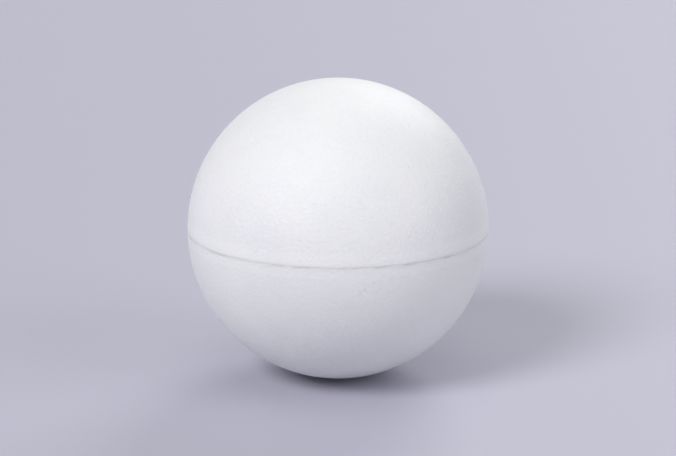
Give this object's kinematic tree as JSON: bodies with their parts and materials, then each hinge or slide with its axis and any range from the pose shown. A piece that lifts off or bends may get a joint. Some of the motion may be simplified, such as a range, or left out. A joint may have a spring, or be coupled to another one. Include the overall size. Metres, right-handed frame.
{
  "type": "table tennis ball",
  "caption": "Hollow matt white ball for table tennis, moulded as thin half shells that a tongue lines up and cement joins along a seam around the middle.",
  "frame": {"origin": "centre of the ball", "axes": "+Z is square to the seam and leaves through the middle of the upper half shell, the one with the tongue; X and Y lie in the plane of the seam, and the ball is round about +Z, so neither is marked on it"},
  "size_m": [0.04, 0.04, 0.04],
  "materials": {
    "shell_plastic": "matte",
    "seam_cement": "satin"
  },
  "bodies": {
    "root": {"upper_half_shell": "shell_plastic", "lower_half_shell": "shell_plastic", "seam_cement": "seam_cement"}
  },
  "joints": []
}
